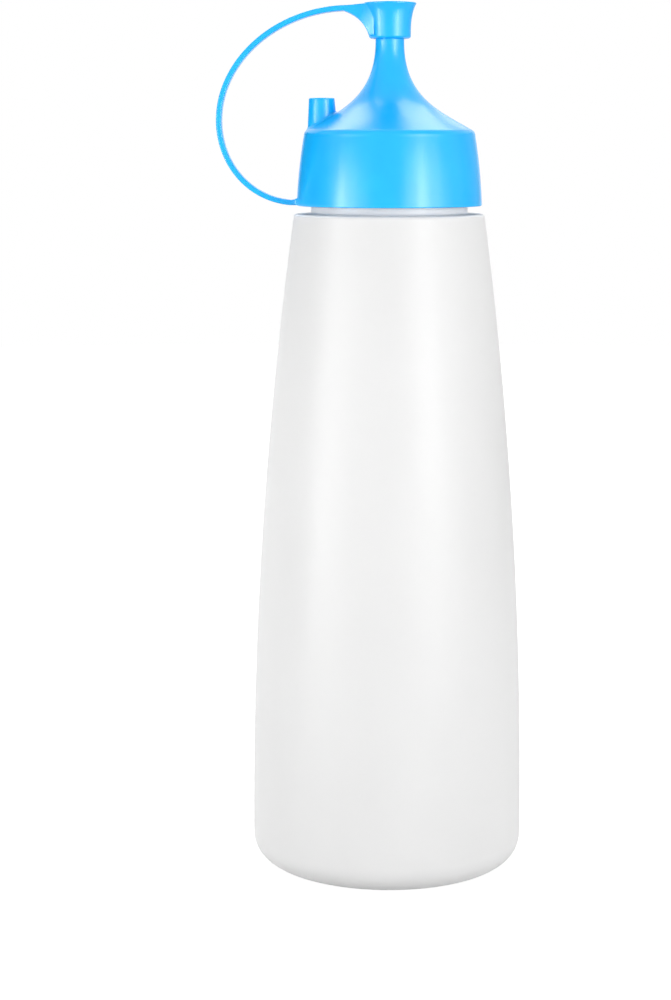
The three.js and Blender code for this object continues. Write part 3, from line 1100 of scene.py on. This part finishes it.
@dataclass
class TipCap(Piece):
    """The small cup that closes the nozzle, with a flared rim, a tapered socket and a sealing peg."""

    name: str = "nozzle_cup"
    node: str = "tip_cap"
    carrier: Carrier = Carrier.TIP
    slot: Slot = Slot.CAP_PLASTIC
    segments: int = 96
    foot_radius: float = 5.45 * MM
    foot_round: float = 0.65 * MM
    rim_edge: float = 0.35 * MM
    flare_height: float = 7.4 * MM
    flare_handle_radius: float = 5.5 * MM
    flare_handle_drop: float = 2.6 * MM
    roof: float = 1.5 * MM
    mouth_radius: float = 4.13 * MM
    socket_top_radius: float = 2.3 * MM
    peg_foot_radius: float = 0.6 * MM
    peg_tip_radius: float = 0.4 * MM
    peg_length: float = 1.2 * MM
    edge: float = 0.15 * MM
    foot_steps: int = 8
    wall_steps: int = 4
    flare_steps: int = 20
    top_steps: int = 6
    edge_steps: int = 4
    peg_tip_steps: int = 2
    peg_steps: int = 3
    socket_steps: int = 10

    def shell(self) -> bmesh.types.BMesh:
        """Turns the cup's section: the peg, the socket down to the mouth, and the outside to the top."""
        low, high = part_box(self.node)
        mouth, top = low.z, high.z
        roof = top - self.roof
        peg_tip = roof - self.peg_length
        outline = Outline(0, peg_tip)
        outline.to(self.peg_tip_radius - self.edge, peg_tip, self.peg_tip_steps)
        outline.corner(self.peg_tip_radius, peg_tip, self.edge, -QUARTER_TURN, steps=self.edge_steps)
        outline.to(self.peg_foot_radius, roof, self.peg_steps)
        outline.to(self.socket_top_radius - self.edge, roof, self.peg_steps)
        outline.corner(
            self.socket_top_radius, roof, self.edge, QUARTER_TURN, -QUARTER_TURN, self.edge_steps)
        outline.to(self.mouth_radius, mouth + self.edge, self.socket_steps)
        outline.corner(self.mouth_radius, mouth, self.edge, 2 * QUARTER_TURN, steps=self.edge_steps)
        outline.corner(self.foot_radius, mouth, self.foot_round, -QUARTER_TURN, steps=self.foot_steps)
        outline.to(self.foot_radius, top - self.flare_height, self.wall_steps)
        outline.curve(
            (self.flare_handle_radius, top - self.flare_handle_drop), (high.x, top - self.rim_edge),
            steps=self.flare_steps)
        outline.corner(high.x, top, self.rim_edge, 0)
        return turned(outline.to(0, top, self.top_steps), self.segments)


def heading(azimuth: float, elevation: float = 0.0) -> Vector:
    """Gives a direction by two angles in degrees, both 0 for the one towards the viewer."""
    around, above = math.radians(azimuth), math.radians(elevation)
    return Vector((
        math.sin(around) * math.cos(above), -math.cos(around) * math.cos(above), math.sin(above)))


@dataclass(frozen=True)
class SoftBox:
    """An even rectangle of light that is turned towards the bottle."""

    name: str
    azimuth: float
    elevation: float
    distance: float
    width: float
    height: float
    power: float
    glossy: bool = True
    aside: float = 0.0
    aim: float = 0.17

    def build(self) -> None:
        """Adds the lamp."""
        light = bpy.data.lights.new(self.name, "AREA")
        light.shape = "RECTANGLE"
        light.size = self.width
        light.size_y = self.height
        light.energy = self.power
        lamp = bpy.data.objects.new(self.name, light)
        lamp.visible_glossy = self.glossy
        away = heading(self.azimuth, self.elevation)
        lamp.location = away * self.distance + Vector((self.aside, 0, self.aim))
        lamp.rotation_euler = (-away).to_track_quat("-Z", "Y").to_euler()
        bpy.context.scene.collection.objects.link(lamp)


@dataclass
class Flag:
    """A dark card beside the backdrop, out of the camera's sight, that keeps the edges crisp."""

    name: str
    azimuth: float
    distance: float
    width: float
    height: float
    shade: float
    foot: float = 0.0
    unit_grid: float = 0.5

    def build(self) -> None:
        """Adds the card, which starts as a grid one metre wide."""
        bm = bmesh.new()
        bmesh.ops.create_grid(bm, x_segments=1, y_segments=1, size=self.unit_grid)
        bmesh.ops.scale(bm, verts=bm.verts[:], vec=(self.width, self.height, 1))
        away = heading(self.azimuth)
        place = Matrix.Translation(away * self.distance + Vector((0, 0, self.foot + self.height / 2)))
        turn = (-away).to_track_quat("Z", "Y").to_matrix().to_4x4()
        bmesh.ops.transform(bm, matrix=place @ turn, verts=bm.verts[:])
        recipe = Recipe(self.name)
        recipe.dress(
            Base_Color=(self.shade, self.shade, self.shade, 1.0), Roughness=1.0, Specular_IOR_Level=0.0)
        card = made_object(bm, self.name, recipe.material)
        card.visible_camera = False
        card.visible_transmission = False
        card.visible_diffuse = False


def seen_share(tree: bpy.types.NodeTree) -> bpy.types.NodeSocket:
    """Gives 1 for camera, glossy and transmission rays, and 0 for the rest.

    Args:
        tree: The tree that gets the nodes.

    Returns:
        The value's socket.
    """
    path = tree.nodes.new("ShaderNodeLightPath")
    value = path.outputs["Is Camera Ray"]
    for other in ("Is Glossy Ray", "Is Transmission Ray"):
        either = tree.nodes.new("ShaderNodeMath")
        either.operation = "MAXIMUM"
        tree.links.new(value, either.inputs[0])
        tree.links.new(path.outputs[other], either.inputs[1])
        value = either.outputs[0]
    return value


@dataclass
class Studio:
    """The camera, the lights, the floor and the white surroundings."""

    camera_place: Vector = field(default_factory=lambda: Vector((0, -0.5942, 0.1928)))
    yaw: float = -0.0237
    pitch: float = 0.1571
    roll: float = 0.0006
    lens: float = 80.62
    sensor: float = 36.0
    nearest_seen: float = 10 * MM
    floor_radius: float = 1.6
    floor_segments: int = 96
    floor_colour: Colour = (0.25, 0.25, 0.25)
    floor_light: float = 0.15
    floor_seen_colour: Colour = (0.42, 0.42, 0.42)
    floor_glow: float = 0.8
    ambient: float = 0.54
    soft_boxes: tuple[SoftBox, ...] = (
        SoftBox("left_core", azimuth=-61, elevation=-8, distance=0.85, width=0.16, height=0.5, power=1.9),
        SoftBox("left_middle", azimuth=-53, elevation=-6, distance=0.87, width=0.42, height=0.56, power=1.95),
        SoftBox("left_wide", azimuth=-49, elevation=-6, distance=0.9, width=0.8, height=0.54, power=2.4),
        SoftBox("right_core", azimuth=41, elevation=-4, distance=0.85, width=0.2, height=0.6, power=2.5),
        SoftBox("right_middle", azimuth=44, elevation=-3, distance=0.87, width=0.75, height=0.65, power=4.0),
        SoftBox("right_wide", azimuth=48, elevation=-6, distance=0.9, width=1.2, height=0.54, power=2.4),
        SoftBox("back_left", azimuth=180, elevation=60, distance=1.1, width=0.34, height=0.8, power=2.6,
                aside=-0.3),
        SoftBox("back_right", azimuth=180, elevation=60, distance=1.1, width=0.34, height=0.8, power=2.6,
                aside=0.3),
        SoftBox("back_low", azimuth=180, elevation=28, distance=1.3, width=0.6, height=0.4, power=1.2),
        SoftBox("left_low", azimuth=-58, elevation=-15, distance=0.26, width=0.1, height=0.16, power=0.05,
                glossy=False),
        SoftBox("left_fill", azimuth=-100, elevation=5, distance=0.9, width=0.6, height=0.5, power=2.2,
                glossy=False),
    )
    flags: tuple[Flag, ...] = (
        Flag("flag_left", azimuth=-120, distance=0.6, width=0.92, height=0.2, shade=0.04, foot=0.16),
        Flag("flag_right", azimuth=128, distance=0.6, width=0.6, height=0.36, shade=0.5),
    )

    def camera(self) -> None:
        """Makes the camera at the photograph's place and angle."""
        data = bpy.data.cameras.new("camera")
        data.sensor_width = self.sensor
        data.lens = self.lens
        data.clip_start = self.nearest_seen
        camera = bpy.data.objects.new("camera", data)
        forward = Vector((
            math.sin(self.yaw) * math.cos(self.pitch),
            math.cos(self.yaw) * math.cos(self.pitch),
            -math.sin(self.pitch)))
        turn = forward.to_track_quat("-Z", "Y").to_matrix().to_4x4() @ Matrix.Rotation(self.roll, 4, "Z")
        camera.matrix_world = Matrix.Translation(self.camera_place) @ turn
        bpy.context.scene.collection.objects.link(camera)
        bpy.context.scene.camera = camera

    def surroundings(self) -> None:
        """Makes the world: white where it is seen, and an even pale light elsewhere."""
        world = bpy.data.worlds.new("studio")
        world.use_nodes = True
        bpy.context.scene.world = world
        nodes, links = world.node_tree.nodes, world.node_tree.links
        background = nodes["Background"]
        background.inputs["Color"].default_value = WHITE
        strength = nodes.new("ShaderNodeMapRange")
        strength.inputs["To Min"].default_value = self.ambient
        strength.inputs["To Max"].default_value = 1.0
        links.new(seen_share(world.node_tree), strength.inputs["Value"])
        links.new(strength.outputs["Result"], background.inputs["Strength"])

    def floor(self) -> None:
        """Makes the pale floor, which is nearly white where it is seen and keeps a faint shadow."""
        bm = bmesh.new()
        bmesh.ops.create_circle(bm, cap_ends=True, segments=self.floor_segments, radius=self.floor_radius)
        recipe = Recipe("studio_floor")
        choice = recipe.node("ShaderNodeMixShader")
        recipe.join(seen_share(recipe.material.node_tree), choice.inputs[0])
        looks = ((self.floor_colour, self.floor_light), (self.floor_seen_colour, self.floor_glow))
        for number, (colour, strength) in enumerate(looks, start=1):
            diffuse = recipe.node("ShaderNodeBsdfDiffuse", Color=(*colour, 1.0))
            glow = recipe.node("ShaderNodeEmission", Strength=strength)
            both = recipe.node("ShaderNodeAddShader")
            recipe.join(diffuse.outputs[0], both.inputs[0])
            recipe.join(glow.outputs[0], both.inputs[1])
            recipe.join(both.outputs[0], choice.inputs[number])
        recipe.join(choice.outputs[0], recipe.nodes["Material Output"].inputs["Surface"])
        recipe.nodes.remove(recipe.shader)
        floor = made_object(bm, "floor", recipe.material)
        floor.visible_glossy = False

    def build(self) -> None:
        """Builds the studio round the bottle."""
        scene = bpy.context.scene
        scene.view_settings.view_transform = "Standard"
        self.camera()
        self.surroundings()
        self.floor()
        for box in self.soft_boxes:
            box.build()
        for flag in self.flags:
            flag.build()


def main() -> None:
    """Builds every piece in order, then the studio."""
    logging.basicConfig(level=logging.INFO, format="%(name)s: %(message)s")
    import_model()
    body = BottleBody()
    bottle_plastic = BottleFinish().material(body.shoulder, body.shoulder + body.collar_height)
    cap_plastic = CapFinish().material()
    foam = WasherFinish().material()
    pieces = (
        (body, bottle_plastic), (SealingWasher(), foam), (ScrewCap(), cap_plastic),
        (Strap(), cap_plastic), (TipCap(), cap_plastic),
    )
    for piece, material in pieces:
        report(piece.build(material))
    Studio().build()


if __name__ == "__main__":
    main()
